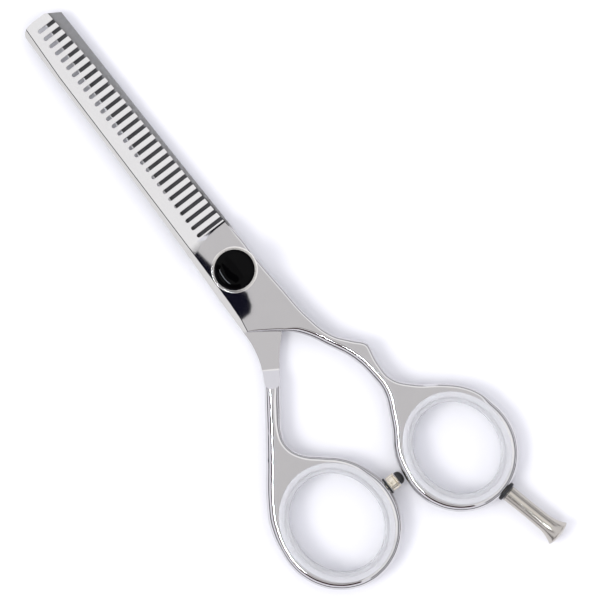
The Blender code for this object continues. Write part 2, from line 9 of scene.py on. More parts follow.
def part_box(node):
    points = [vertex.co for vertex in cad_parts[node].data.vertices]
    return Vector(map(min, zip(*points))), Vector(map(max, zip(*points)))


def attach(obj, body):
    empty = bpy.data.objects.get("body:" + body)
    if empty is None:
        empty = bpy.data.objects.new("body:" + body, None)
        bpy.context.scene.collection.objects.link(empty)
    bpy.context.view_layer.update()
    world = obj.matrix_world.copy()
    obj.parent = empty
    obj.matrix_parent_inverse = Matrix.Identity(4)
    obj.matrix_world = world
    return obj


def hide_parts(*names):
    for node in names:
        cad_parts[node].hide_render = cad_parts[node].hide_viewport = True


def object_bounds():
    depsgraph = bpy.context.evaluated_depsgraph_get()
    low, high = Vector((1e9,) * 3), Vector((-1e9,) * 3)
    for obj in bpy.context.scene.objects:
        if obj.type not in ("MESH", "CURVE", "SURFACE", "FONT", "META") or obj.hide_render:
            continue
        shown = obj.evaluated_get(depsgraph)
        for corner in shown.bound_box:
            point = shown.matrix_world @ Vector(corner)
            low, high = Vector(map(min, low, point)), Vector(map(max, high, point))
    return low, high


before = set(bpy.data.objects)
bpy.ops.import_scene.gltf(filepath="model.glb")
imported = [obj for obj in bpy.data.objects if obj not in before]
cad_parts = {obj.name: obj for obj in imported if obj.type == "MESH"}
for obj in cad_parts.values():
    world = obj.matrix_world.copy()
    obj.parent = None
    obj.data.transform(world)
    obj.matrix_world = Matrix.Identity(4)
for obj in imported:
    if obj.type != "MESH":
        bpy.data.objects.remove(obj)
cadBox = [list(corner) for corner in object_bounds()]
mm = 0.001
fit = 0.15  # clearance between pieces that fit together, in mm


def boxOf(node):
    low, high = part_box(node)
    return low / mm, high / mm


# shader writing

class Port:  # an output socket that takes part in plain arithmetic
    def __init__(self, paint, socket):
        self.paint = paint
        self.socket = socket

    def maths(self, operation, other, swap=False):
        pair = (other, self) if swap else (self, other)
        return self.paint.add("ShaderNodeMath", {"operation": operation}, {0: pair[0], 1: pair[1]})

    def __add__(self, other):
        return self.maths("ADD", other)

    def __radd__(self, other):
        return self.maths("ADD", other, True)

    def __sub__(self, other):
        return self.maths("SUBTRACT", other)

    def __rsub__(self, other):
        return self.maths("SUBTRACT", other, True)

    def __mul__(self, other):
        return self.maths("MULTIPLY", other)

    def __rmul__(self, other):
        return self.maths("MULTIPLY", other, True)

    def __pow__(self, other):
        return self.maths("POWER", other)


class Paint:  # one material under construction
    def __init__(self, name):
        self.material = bpy.data.materials.new(name)
        self.material.use_nodes = True
        self.nodes = self.material.node_tree.nodes
        self.links = self.material.node_tree.links
        self.nodes.clear()
        self.place = self.add("ShaderNodeTexCoord", {}, {}, "Object")

    def add(self, kind, settings, values, output=0):
        node = self.nodes.new(kind)
        for key, value in settings.items():
            if key == "stops":
                for spot, (position, colour) in zip(node.color_ramp.elements, value):
                    spot.position = position
                    spot.color = (*colour, 1.0)
            else:
                setattr(node, key, value)
        for key, value in values.items():
            if isinstance(value, Port):
                self.links.new(value.socket, node.inputs[key])
            else:
                node.inputs[key].default_value = value
        return Port(self, node.outputs[output])

    def noise(self, size, detail=2.0, stretch=(1.0, 1.0, 1.0), turn=0.0):
        # noise with features about size mm across, longer along the axes with a large stretch
        scale = tuple(1.0 / (size * mm * s) for s in stretch)
        where = self.add("ShaderNodeMapping", {}, {"Vector": self.place, "Scale": scale,
                                                   "Rotation": (0.0, 0.0, turn)})
        return self.add("ShaderNodeTexNoise", {}, {"Vector": where, "Scale": 1.0, "Detail": detail,
                                                   "Roughness": 0.55})

    def along(self, axis):
        # the place along one axis, in mm
        return self.add("ShaderNodeSeparateXYZ", {}, {0: self.place}, axis) * (1.0 / mm)

    def ramp(self, value, start, end):
        return self.add("ShaderNodeMapRange", {"interpolation_type": "SMOOTHSTEP"}, {
            "Value": value, "From Min": start, "From Max": end})

    def blend(self, share, first, second):
        return self.add("ShaderNodeMix", {"data_type": "RGBA"}, {
            0: share, 6: (*first, 1.0) if isinstance(first, tuple) else first,
            7: (*second, 1.0) if isinstance(second, tuple) else second}, 2)

    def bump(self, height, depth):
        # depth in mm from the lowest to the highest value
        return self.add("ShaderNodeBump", {}, {"Height": height, "Strength": 1.0, "Distance": depth * mm})

    def finish(self, **sockets):
        values = {key.replace("_", " "): value for key, value in sockets.items()}
        shader = self.add("ShaderNodeBsdfPrincipled", {}, values)
        output = self.nodes.new("ShaderNodeOutputMaterial")
        self.links.new(shader.socket, output.inputs["Surface"])
        return self.material


def steelPaint(name, tint, rough, mottle=0.03, line=None, lineDepth=0.0004, lineSize=0.05):
    # polished or ground steel: faint mottling, wiped smears, hairline marks
    paint = Paint(name)
    cloud = paint.noise(5.0, 3.0)
    smear = paint.noise(2.2, 4.0, (1.0, 3.5, 1.0), 0.35)
    darker = tuple(c * (1.0 - 2 * mottle) for c in tint)
    colour = paint.blend(cloud, darker, tint)
    stretch = line or (18.0, 1.0, 1.0)
    hair = paint.noise(lineSize, 2.0, stretch, 0.0 if line else 0.6)
    roughness = rough * 0.75 + smear * (rough * 0.5)
    return paint.finish(Base_Color=colour, Metallic=1.0, Roughness=roughness,
                        Normal=paint.bump(hair, lineDepth))


def shadedHonedPaint():
    # inner face of the plain blade: painted shade, near black, where the comb's teeth lie over its hollow
    # grind; bright cutting edge; lighter strip at the back, out of that shade
    paint = Paint("shadedHonedSteel")
    x = paint.along(0)
    y = paint.along(1)
    fleck = paint.noise(0.7, 4.0, (2.5, 1.0, 1.0))
    fromBack = x - (5.6 - y * 0.0470)  # mm past the line of the tooth tips
    back = paint.ramp(fromBack + (fleck - 0.5) * 0.4, -0.2, 0.25)
    fromEdge = x - (y * 0.0403 - 2.96)  # mm past the cutting edge
    edge = 1.0 - paint.ramp(fromEdge, 0.16, 0.3)
    # painted shade under the comb's teeth, and the lighter strip past them that lies out of it
    shadeUnderTeeth = paint.blend(fleck, (0.035, 0.035, 0.04), (0.10, 0.098, 0.10))
    unshadedStrip = paint.blend(fleck, (0.22, 0.22, 0.225), (0.29, 0.285, 0.29))
    ahead = paint.ramp(y, 7.5, 9.5)  # nearer the pivot the face is polished
    colour = paint.blend(edge, paint.blend(back, shadeUnderTeeth, unshadedStrip), (0.75, 0.75, 0.76))
    colour = paint.blend(ahead, (0.66, 0.65, 0.655), colour)
    grind = paint.noise(0.07, 2.0, (60.0, 1.0, 1.0))
    return paint.finish(Base_Color=colour, Metallic=1.0, Roughness=0.07 + ahead * (0.2 + fleck * 0.12),
                        Normal=paint.bump(grind * ahead, 0.0015))


def shadedWallPaint():
    # end wall of the teeth's ground bed: painted shade, darkest where it is deepest
    paint = Paint("shadedWallSteel")
    grain = paint.noise(0.4, 3.0)
    wallShade = paint.ramp(paint.along(0) + grain * 0.6, -0.6, 1.6)
    return paint.finish(Base_Color=paint.blend(wallShade, (0.66, 0.65, 0.655), (0.03, 0.03, 0.035)), Metallic=1.0,
                        Roughness=0.2 + wallShade * 0.15, Normal=paint.bump(grain, 0.002))


steel = {
    "body": steelPaint("combSteel", (0.66, 0.65, 0.655), 0.06),
    "plain": steelPaint("plainSteel", (0.66, 0.65, 0.655), 0.06),
    "ground": steelPaint("groundSteel", (0.66, 0.655, 0.66), 0.17, 0.015, (60.0, 1.0, 1.0), 0.0006, 0.06),
    # inner face of the plain blade, with painted shade under the comb's teeth
    "honedShaded": shadedHonedPaint(),
    # near-black slot walls: painted shade in the narrow slots
    "slots": steelPaint("shadedSlotSteel", (0.08, 0.08, 0.085), 0.4, 0.05),
    # comb's hollow-ground underside, darkened as painted shade so the blade under it reflects dark
    "hollow": steelPaint("shadedHollowSteel", (0.16, 0.16, 0.165), 0.3, 0.05, (60.0, 1.0, 1.0), 0.0012, 0.07),
    # near-black groove along the back facet: painted shade
    "shadedScore": steelPaint("shadedScoreSteel", (0.04, 0.04, 0.045), 0.35, 0.05),
    # painted shade on the end wall of the teeth's bed
    "wall": shadedWallPaint(),
    "pivot": steelPaint("pivotSteel", (0.58, 0.58, 0.59), 0.3, 0.04),
    "dial": steelPaint("dialSteel", (0.78, 0.76, 0.73), 0.16),
    "barrel": steelPaint("barrelSteel", (0.80, 0.74, 0.62), 0.2),
    "rest": steelPaint("restSteel", (0.54, 0.51, 0.46), 0.24, 0.07),
}


def blackPaint():
    paint = Paint("dialBlack")
    ripple = paint.noise(3.0, 1.0)
    colour = paint.blend(ripple, (0.0006, 0.0006, 0.0008), (0.0012, 0.0012, 0.0014))
    return paint.finish(Base_Color=colour, Roughness=0.03 + ripple * 0.04, Specular_IOR_Level=0.055,
                        Normal=paint.bump(ripple, 0.0008))


def rubberPaint():
    paint = Paint("blackRubber")
    grain = paint.noise(0.18, 3.0)
    return paint.finish(Base_Color=paint.blend(grain, (0.006, 0.006, 0.007), (0.016, 0.016, 0.018)),
                        Roughness=0.42 + grain * 0.2, Normal=paint.bump(grain, 0.008))


def linerPaint():
    paint = Paint("clearLiner")
    haze = paint.noise(1.8, 3.0)
    wave = paint.noise(2.5, 1.0)
    return paint.finish(Base_Color=paint.blend(haze, (0.93, 0.935, 0.95), (0.99, 0.99, 1.0)),
                        Roughness=0.14 + haze * 0.16, Transmission_Weight=0.64, IOR=1.40,
                        Normal=paint.bump(wave, 0.05))


def nylonPaint():
    paint = Paint("nylon")
    grain = paint.noise(0.3, 3.0)
    return paint.finish(Base_Color=paint.blend(grain, (0.76, 0.76, 0.72), (0.84, 0.84, 0.80)),
                        Roughness=0.45 + grain * 0.15, Normal=paint.bump(grain, 0.006))


dialBlack = blackPaint()
blackRubber = rubberPaint()
clearLiner = linerPaint()
nylon = nylonPaint()
print("materials ready")


# mesh making

def newObject(name, mesh, *materials):
    for material in materials:
        mesh.materials.append(material)
    made = bpy.data.objects.new(name, mesh)
    bpy.context.scene.collection.objects.link(made)
    return made


def meshFrom(name, points, faces):
    # points in mm
    mesh = bpy.data.meshes.new(name)
    mesh.from_pydata([Vector(p) * mm for p in points], [], faces)
    shape = bmesh.new()
    shape.from_mesh(mesh)
    bmesh.ops.remove_doubles(shape, verts=shape.verts, dist=0.0005 * mm)
    bmesh.ops.recalc_face_normals(shape, faces=shape.faces)
    shape.to_mesh(mesh)
    shape.free()
    return mesh


def bakeShape(made):
    # turns an object and its modifiers into one plain mesh
    bpy.context.view_layer.update()
    graph = bpy.context.evaluated_depsgraph_get()
    mesh = bpy.data.meshes.new_from_object(made.evaluated_get(graph))
    made.modifiers.clear()
    made.data = mesh
    return made


def settleNormals(made, blendUnder=16.0, broadArea=2.0):
    # broad flats keep one normal right up to their rounded edges, as ground faces do
    mesh = made.data
    shape = bmesh.new()
    shape.from_mesh(mesh)
    shape.faces.ensure_lookup_table()
    shape.normal_update()
    region = [-1] * len(shape.faces)
    broad = []
    for first in shape.faces:
        if region[first.index] >= 0:
            continue
        mark = len(broad)
        region[first.index] = mark
        waiting = [first]
        area = 0.0
        while waiting:
            face = waiting.pop()
            area += face.calc_area()
            for edge in face.edges:
                for other in edge.link_faces:
                    if region[other.index] < 0 and other.normal.dot(first.normal) > 0.999998:
                        region[other.index] = mark
                        waiting.append(other)
        broad.append(area > broadArea * mm * mm)
    limit = math.cos(math.radians(blendUnder))
    normals = []
    for face in shape.faces:
        for loop in face.loops:
            total = Vector((0.0, 0.0, 0.0))
            for corner in loop.vert.link_loops:
                other = corner.face
                if other.normal.dot(face.normal) > limit:
                    weight = corner.calc_angle() * (5000.0 if broad[region[other.index]] else 1.0)
                    total += other.normal * weight
            normals.append(total.normalized() if total.length > 0 else face.normal.copy())
    shape.free()
    mesh.shade_smooth()
    mesh.normals_split_custom_set(normals)


def mendMesh(made):
    # closes the hairline gaps that cutting leaves
    shape = bmesh.new()
    shape.from_mesh(made.data)
    bmesh.ops.remove_doubles(shape, verts=shape.verts, dist=0.0004 * mm)
    bmesh.ops.dissolve_degenerate(shape, edges=shape.edges, dist=0.0002 * mm)
    shape.to_mesh(made.data)
    shape.free()


def finishPiece(made, body, slot, *nodes):
    mendMesh(made)
    settleNormals(made)
    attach(made, body)
    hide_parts(*nodes)
    return made


def cutAway(made, cutter):
    cut = made.modifiers.new(cutter.name, "BOOLEAN")
    cut.operation = "DIFFERENCE"
    cut.solver = "EXACT"
    cut.material_mode = "TRANSFER"
    cut.object = cutter
    cutter.hide_render = True
    return cut


def dropCutters(cutters):
    for cutter in cutters:
        bpy.data.objects.remove(cutter, do_unlink=True)


def filleted(profile, closed=False, steps=4):
    # profile points (r, z, radius) with each corner rounded to its radius
    points = []
    count = len(profile)
    for i, knot in enumerate(profile):
        here = Vector(knot[:2])
        radius = knot[2] if len(knot) > 2 else 0.0
        if radius <= 0 or (not closed and i in (0, count - 1)):
            points.append(here)
            continue
        before = Vector(profile[i - 1][:2]) - here
        after = Vector(profile[(i + 1) % count][:2]) - here
        half = before.angle(after) / 2
        reach = min(radius / math.tan(half), before.length * 0.49, after.length * 0.49)
        start = here + before.normalized() * reach
        end = here + after.normalized() * reach
        for k in range(steps + 1):
            t = k / steps
            points.append(start * (1 - t) ** 2 + here * 2 * t * (1 - t) + end * t ** 2)
    return points


def turnedMesh(name, profile, closed=False, steps=96, place=None):
    # profile (radius, height) in mm, turned about the vertical axis and then put in place
    rows = []
    points = []
    for r, z in profile:
        if r < 1e-6:
            rows.append([len(points)] * steps)
            points.append(Vector((0.0, 0.0, z)))
            continue
        rows.append(list(range(len(points), len(points) + steps)))
        for k in range(steps):
            turn = 2 * math.pi * k / steps
            points.append(Vector((r * math.cos(turn), r * math.sin(turn), z)))
    faces = []
    pairs = list(zip(rows, rows[1:])) + ([(rows[-1], rows[0])] if closed else [])
    for one, two in pairs:
        for k in range(steps):
            loop = [one[k], one[(k + 1) % steps], two[(k + 1) % steps], two[k]]
            loop = [v for j, v in enumerate(loop) if v not in loop[:j]]
            if len(loop) > 2:
                faces.append(loop)
    if place:
        points = [place @ p for p in points]
    return meshFrom(name, points, faces)


def laidDown(mouth, direction, height):
    # from an upright turned piece to one whose axis runs flat from the mouth
    turn = Vector((direction[0], direction[1], 0.0)).to_track_quat("Z", "Y")
    return Matrix.Translation((mouth[0], mouth[1], height)) @ turn.to_matrix().to_4x4()


def sampleLoop(knots, spacing):
    # smooth closed curve through (x, y, edge width[, "corner"]): returns points and widths
    curve = bpy.data.curves.new("guide", "CURVE")
    spline = curve.splines.new("BEZIER")
    spline.bezier_points.add(len(knots) - 1)
    spline.use_cyclic_u = True
    for point, knot in zip(spline.bezier_points, knots):
        point.co = (knot[0], knot[1], 0.0)
    for point, knot in zip(spline.bezier_points, knots):
        kind = "VECTOR" if len(knot) > 3 else "AUTO"
        point.handle_left_type = kind
        point.handle_right_type = kind
    guide = bpy.data.objects.new("guide", curve)
    bpy.context.scene.collection.objects.link(guide)
    bpy.context.view_layer.update()
    points = []
    widths = []
    stops = spline.bezier_points
    for i, one in enumerate(stops):
        two = stops[(i + 1) % len(stops)]
        count = max(1, round((two.co - one.co).length / spacing))
        for k, p in enumerate(interpolate_bezier(one.co, one.handle_right, two.handle_left, two.co,
                                                 count + 1)[:-1]):
            t = k / count
            t = t * t * (3 - 2 * t)
            points.append(Vector((p.x, p.y)))
            widths.append(knots[i][2] * (1 - t) + knots[(i + 1) % len(knots)][2] * t)
    bpy.data.objects.remove(guide, do_unlink=True)
    bpy.data.curves.remove(curve)
    return points, widths


def insetLoop(points, widths, share):
    # moves each point inwards by its width times share, and closes up what crosses at a corner
    count = len(points)
    area = sum(points[i - 1].x * points[i].y - points[i].x * points[i - 1].y for i in range(count))
    side = -1.0 if area > 0 else 1.0
    moved = []
    for i in range(count):
        into = (points[i] - points[i - 1]).normalized()
        out = (points[(i + 1) % count] - points[i]).normalized()
        along = (into + out).normalized()
        square = Vector((along.y, -along.x)) * side
        stretch = 1.0 / max(0.5, along.dot(into))
        moved.append(points[i] + square * widths[i] * share * stretch)
    for _ in range(6):
        crossed = [(moved[(i + 1) % count] - moved[i]).dot(points[(i + 1) % count] - points[i]) < 0
                   for i in range(count)]
        if not any(crossed):
            break
        i = 0
        while i < count:
            if crossed[i]:
                end = i
                while crossed[end % count] and end < i + count:
                    end += 1
                run = [j % count for j in range(i, end + 1)]
                middle = sum((moved[j] for j in run), Vector((0.0, 0.0))) / len(run)
                for j in run:
                    moved[j] = middle.copy()
                i = end
            i += 1
    return moved


def roundedSlab(name, knots, low, high, spacing=0.45, steps=9):
    # a flat outline whose top and bottom edges are rounded by each knot's own width
    points, widths = sampleLoop(knots, spacing)
    loops = []
    shares = [(1 - math.sin(math.pi / 2 * k / steps), 1 - math.cos(math.pi / 2 * k / steps))
              for k in range(steps + 1)]
    most = (high - low) * 0.49
    for inset, rise in shares:  # from the lower face out to the side
        ring = insetLoop(points, widths, inset)
        loops.append([(p.x, p.y, low + min(w, most) * rise) for p, w in zip(ring, widths)])
    for inset, rise in reversed(shares):
        ring = insetLoop(points, widths, inset)
        loops.append([(p.x, p.y, high - min(w, most) * rise) for p, w in zip(ring, widths)])
    count = len(points)
    corners = [p for loop in loops for p in loop]
    faces = []
    for row in range(len(loops) - 1):
        for i in range(count):
            j = (i + 1) % count
            faces.append((row * count + i, row * count + j, (row + 1) * count + j, (row + 1) * count + i))
    faces.append(tuple(range(count)))
    faces.append(tuple(range(len(corners) - count, len(corners))))
    mesh = meshFrom(name, corners, faces)
    shape = bmesh.new()
    shape.from_mesh(mesh)
    bmesh.ops.dissolve_degenerate(shape, dist=0.0003 * mm, edges=shape.edges)
    bmesh.ops.triangulate(shape, faces=shape.faces)
    bmesh.ops.recalc_face_normals(shape, faces=shape.faces)
    shape.to_mesh(mesh)
    shape.free()
    return mesh


def prism(name, outline, low, high, material):
    # straight-sided cutter over an outline of (x, y)
    count = len(outline)
    points = [(x, y, low) for x, y in outline] + [(x, y, high) for x, y in outline]
    faces = [(i, (i + 1) % count, count + (i + 1) % count, count + i) for i in range(count)]
    faces += [tuple(range(count)), tuple(range(count, 2 * count))]
    return newObject(name, meshFrom(name, points, faces), material)


def sideCutter(name, outline, material):
    # cutter right across the shears, over an outline of (y, z)
    made = prism(name, outline, -60, 60, material)
    for vert in made.data.vertices:
        y, z, x = vert.co
        vert.co = (x, y, z)
    return made


def sweptCutter(name, sections, material):
    # cutter through matching cross-sections, each a list of points
    count = len(sections[0])
    points = [p for section in sections for p in section]
    faces = []
    for row in range(len(sections) - 1):
        for i in range(count):
            j = (i + 1) % count
            faces.append((row * count + i, row * count + j, (row + 1) * count + j, (row + 1) * count + i))
    faces += [tuple(range(count)), tuple(range(len(points) - count, len(points)))]
    mesh = meshFrom(name, points, faces)
    shape = bmesh.new()
    shape.from_mesh(mesh)
    bmesh.ops.triangulate(shape, faces=shape.faces)
    shape.to_mesh(mesh)
    shape.free()
    return newObject(name, mesh, material)


def cylinderCutter(name, radius, low, high, material):
    return newObject(name, turnedMesh(name, [(0, low), (radius, low), (radius, high), (0, high)]), material)


def planeHeight(a, b, c):
    a, b, c = Vector(a), Vector(b), Vector(c)
    square = (b - a).cross(c - a)
    return lambda x, y: a.z - (square.x * (x - a.x) + square.y * (y - a.y)) / square.z


# sizes shared by several pieces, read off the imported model

combHigh = boxOf("comb_half")[1]
plainLow = boxOf("plain_half")[0]
low = plainLow.z
high = combHigh.z
middle = (low + high) / 2
combBottom = middle + fit
plainTop = middle - fit
tipY = combHigh.y
bushRadius = boxOf("pivot_bush")[1].x
washerRadius = boxOf("blade_washer")[1].x


class Ring:  # a finger or thumb ring, placed by its liner
    lipWidth = 1.1
    wall = 1.2
    rimSide = Vector((2.75, 1.95))

    def __init__(self, liner):
        lowest, highest = boxOf(liner)
        self.centre = ((lowest + highest) / 2).to_2d()
        self.lip = ((highest - lowest) / 2).to_2d()
        self.hole = self.lip - Vector((self.lipWidth, self.lipWidth))
        self.opening = self.hole - Vector((self.wall + fit, self.wall + fit))
        self.outside = self.hole + self.rimSide
        self.rimCentre = self.centre + Vector((-0.2, -0.65))

    def around(self, angle, swell=1.0):
        turn = math.radians(angle)
        reach = Vector((self.outside.x * math.cos(turn), self.outside.y * math.sin(turn)))
        return self.rimCentre + reach * swell

    def arc(self, start, end, width):
        count = round(abs(end - start) / 15)
        return [(*self.around(start + (end - start) * i / count), width) for i in range(count + 1)]

    def outward(self, angle):
        turn = math.radians(angle)
        return Vector((math.cos(turn) / self.outside.x, math.sin(turn) / self.outside.y)).normalized()

    def ellipse(self, halfAxes, count=144):
        turns = [2 * math.pi * i / count for i in range(count)]
        return [(self.centre.x + halfAxes.x * math.cos(t), self.centre.y + halfAxes.y * math.sin(t))
                for t in turns]


fingerRing = Ring("finger_insert")
thumbRing = Ring("thumb_insert")


# sizes of the two fittings, which the rings have seats for

bumper = {"y": -61.4, "barrelRadius": 1.85, "barrelFoot": 0.8, "barrelLength": 2.2, "groove": 0.8,
          "studRadius": 0.85, "studDepth": 1.6, "pinRadius": 0.7, "pinLength": 0.75,
          "washerRadius": 2.1, "washer": 0.5, "capRadius": 1.55, "capLength": 1.5, "capSide": 0.45}
rest = {"length": 14.975, "radius": 1.9, "endRadius": 3.15, "endDome": 0.7, "flare": 4.5, "waist": 0.08,
        "studRadius": 1.1, "studDepth": 1.7, "washerRadius": 2.4, "washer": 0.8}


# toothed half

combHalf = {
    "grindY": 10.3, "bladeEdge": 0.13, "landEdge": 0.75, "outerEdge": 0.85, "innerEdge": 1.75,
    "rimEdge": 1.6, "pitch": 2.139, "slotWidth": 0.95, "slotRoot": -2.45, "slotLean": 0.009,
    "tipTooth": 2.25, "restAngle": -77.4, "facetLean": 0.275, "wallLength": 0.28,
    "rootThickness": 1.4, "tipThickness": 1.5, "underRamp": (-20.5, -27.0),
    "bedEnd": [(-20.0, 8.2), (-6.5, 8.2), (-5.3, 8.35), (-4.2, 8.63), (-3.1, 9.0), (-1.2, 9.6), (0.55, 9.96),
               (2.3, 10.1), (20.0, 10.1)],
}


def combKnots(ring):
    c = combHalf
    along = lambda share: c["grindY"] + share * (tipY - c["grindY"])
    b, l, o, n, r = (c[key] for key in ("bladeEdge", "landEdge", "outerEdge", "innerEdge", "rimEdge"))
    knots = [(-2.5, tipY, b, 1), (1.5, tipY, b, 1), (2.05, tipY - 0.5, b, 1)]
    knots += [(5.0 - 2.95 * 0.66 + 0.45, along(0.66), b), (5.0 - 2.95 * 0.3 + 0.225, along(0.3), b)]
    knots += [(5.0, along(0), b), (5.7, 5.0, l), (5.7, 0.0, l), (6.2, -10.0, l)]
    knots += [(6.9, -19.0, l), (8.7, -25.5, o), (11.5, -29.3, o), (13.75, -31.9, o), (13.95, -32.5, o)]
    knots += [(13.2, -37.5, o), (13.5, -42.0, o), (16.5, -46.0, o)]
    knots += [(*ring.around(a, s), o) for a, s in ((62, 1.10), (46, 1.06), (31, 1.03))]
    knots += ring.arc(15, -195, r)
    knots += [(*ring.around(a, s), n) for a, s in ((154, 1.035), (140, 1.073), (127, 1.123))]
    knots += [(7.8, -48.5, n), (9.9, -43.5, n), (10.0, -39.0, n), (9.0, -33.0, n), (6.5, -27.5, n)]
    knots += [(3.0, -21.0, 1.5), (0.0, -18.1, 0.9), (-3.8, -15.2, 0.7), (-7.2, -12.8, 0.3, 1)]
    knots += [(-6.9, 0.0, 0.1), (-6.6, c["grindY"] - 2.2, 0.1), (-6.0, along(0.3), b), (-5.7, along(0.8), b)]
    knots += [(-5.5, tipY - 1.9, b, 1), (-5.15, tipY - 1.1, b), (-4.4, tipY - 0.5, b)]
    knots += [(-3.5, tipY - 0.13, b)]
    return knots


def slotTree():
    # one round-ended slot cutter, repeated along the blade
    tree = bpy.data.node_groups.new("toothSlots", "GeometryNodeTree")
    side = tree.interface
    for name, kind in (("Count", "Int"), ("Pitch", "Float"), ("Lean", "Float"), ("Width", "Float"),
                       ("Length", "Float"), ("Depth", "Float"), ("First", "Vector"), ("Finish", "Material")):
        side.new_socket(name, in_out="INPUT", socket_type="NodeSocket" + kind)
    side.new_socket("Cutters", in_out="OUTPUT", socket_type="NodeSocketGeometry")

    def node(kind, inputs, **settings):
        made = tree.nodes.new(kind)
        for key, value in settings.items():
            setattr(made, key, value)
        for key, value in inputs.items():
            if isinstance(value, bpy.types.NodeSocket):
                tree.links.new(value, made.inputs[key])
            else:
                made.inputs[key].default_value = value
        return made

    given = node("NodeGroupInput", {}).outputs
    half = node("ShaderNodeMath", {0: given["Width"], 1: 0.4999}, operation="MULTIPLY").outputs[0]
    box = node("GeometryNodeCurvePrimitiveQuadrilateral", {"Width": given["Length"],
                                                          "Height": given["Width"]})
    ends = node("GeometryNodeFilletCurve", {"Curve": box.outputs[0], "Count": 10, "Radius": half,
                                            "Limit Radius": True}, mode="POLY")
    face = node("GeometryNodeFillCurve", {"Curve": ends.outputs[0]}, mode="NGONS")
    lift = node("ShaderNodeCombineXYZ", {"Z": given["Depth"]})
    raised = node("GeometryNodeExtrudeMesh", {"Mesh": face.outputs[0], "Offset": lift.outputs[0],
                                              "Offset Scale": 1.0, "Individual": False})
    under = node("GeometryNodeFlipFaces", {"Mesh": face.outputs[0]})
    both = node("GeometryNodeJoinGeometry", {})
    tree.links.new(raised.outputs[0], both.inputs[0])
    tree.links.new(under.outputs[0], both.inputs[0])
    shut = node("GeometryNodeMergeByDistance", {"Geometry": both.outputs[0], "Distance": 1e-7})
    back = node("ShaderNodeMath", {0: given["Pitch"], 1: -1.0}, operation="MULTIPLY").outputs[0]
    step = node("ShaderNodeCombineXYZ", {"X": given["Lean"], "Y": back})
    row = node("GeometryNodeMeshLine", {"Count": given["Count"], "Start Location": given["First"],
                                        "Offset": step.outputs[0]})
    slots = node("GeometryNodeInstanceOnPoints", {"Points": row.outputs[0], "Instance": shut.outputs[0]})
    real = node("GeometryNodeRealizeInstances", {"Geometry": slots.outputs[0]})
    done = node("GeometryNodeSetMaterial", {"Geometry": real.outputs[0], "Material": given["Finish"]})
    node("NodeGroupOutput", {"Cutters": done.outputs[0]})
    return tree


def runTree(made, tree, values):
    # sets a tree's named inputs by their identifiers, then keeps only the plain mesh
    changer = made.modifiers.new(tree.name, "NODES")
    changer.node_group = tree
    for item in tree.interface.items_tree:
        if item.in_out == "INPUT" and item.name in values:
            changer[item.identifier] = values[item.name]
    return bakeShape(made)


def makeSlots():
    c = combHalf
    radius = c["slotWidth"] / 2
    firstY = tipY - c["tipTooth"] - radius
    length = 24.0
    count = int((firstY - radius - c["grindY"]) / c["pitch"]) + 1
    made = newObject("slotCutter", bpy.data.meshes.new("slotCutter"))
    first = Vector((c["slotRoot"] + length / 2, firstY, combBottom - 1.0)) * mm
    # the slot walls take the near-black slot steel, painted shade
    return runTree(made, slotTree(), {
        "Count": count, "Pitch": c["pitch"] * mm, "Lean": c["slotLean"] * mm, "Width": c["slotWidth"] * mm,
        "Length": length * mm, "Depth": 6.0 * mm, "First": first, "Finish": steel["slots"]})


def pivotCutters(material):
    reach = boxOf("blade_washer")[1].z - middle + fit
    return [cylinderCutter("bore", bushRadius + fit, -20, 40, material),
            cylinderCutter("recess", washerRadius + fit, middle - reach, middle + reach, material)]


def rimSeat(name, mouth, direction, fitting, material):
    # flat for a fitting's washer, and the hole for its stud
    washer, stud = fitting["washerRadius"] + fit, fitting["studRadius"] + fit
    depth = fitting["studDepth"] + fit
    profile = [(0, 20), (washer, 20), (washer, 0), (stud, 0), (stud, -depth), (0, -depth)]
    place = laidDown(mouth, direction, middle)
    return newObject(name, turnedMesh(name, profile, place=place), material)


def restMouth():
    angle = combHalf["restAngle"]
    return fingerRing.around(angle) - fingerRing.outward(angle) * 0.35


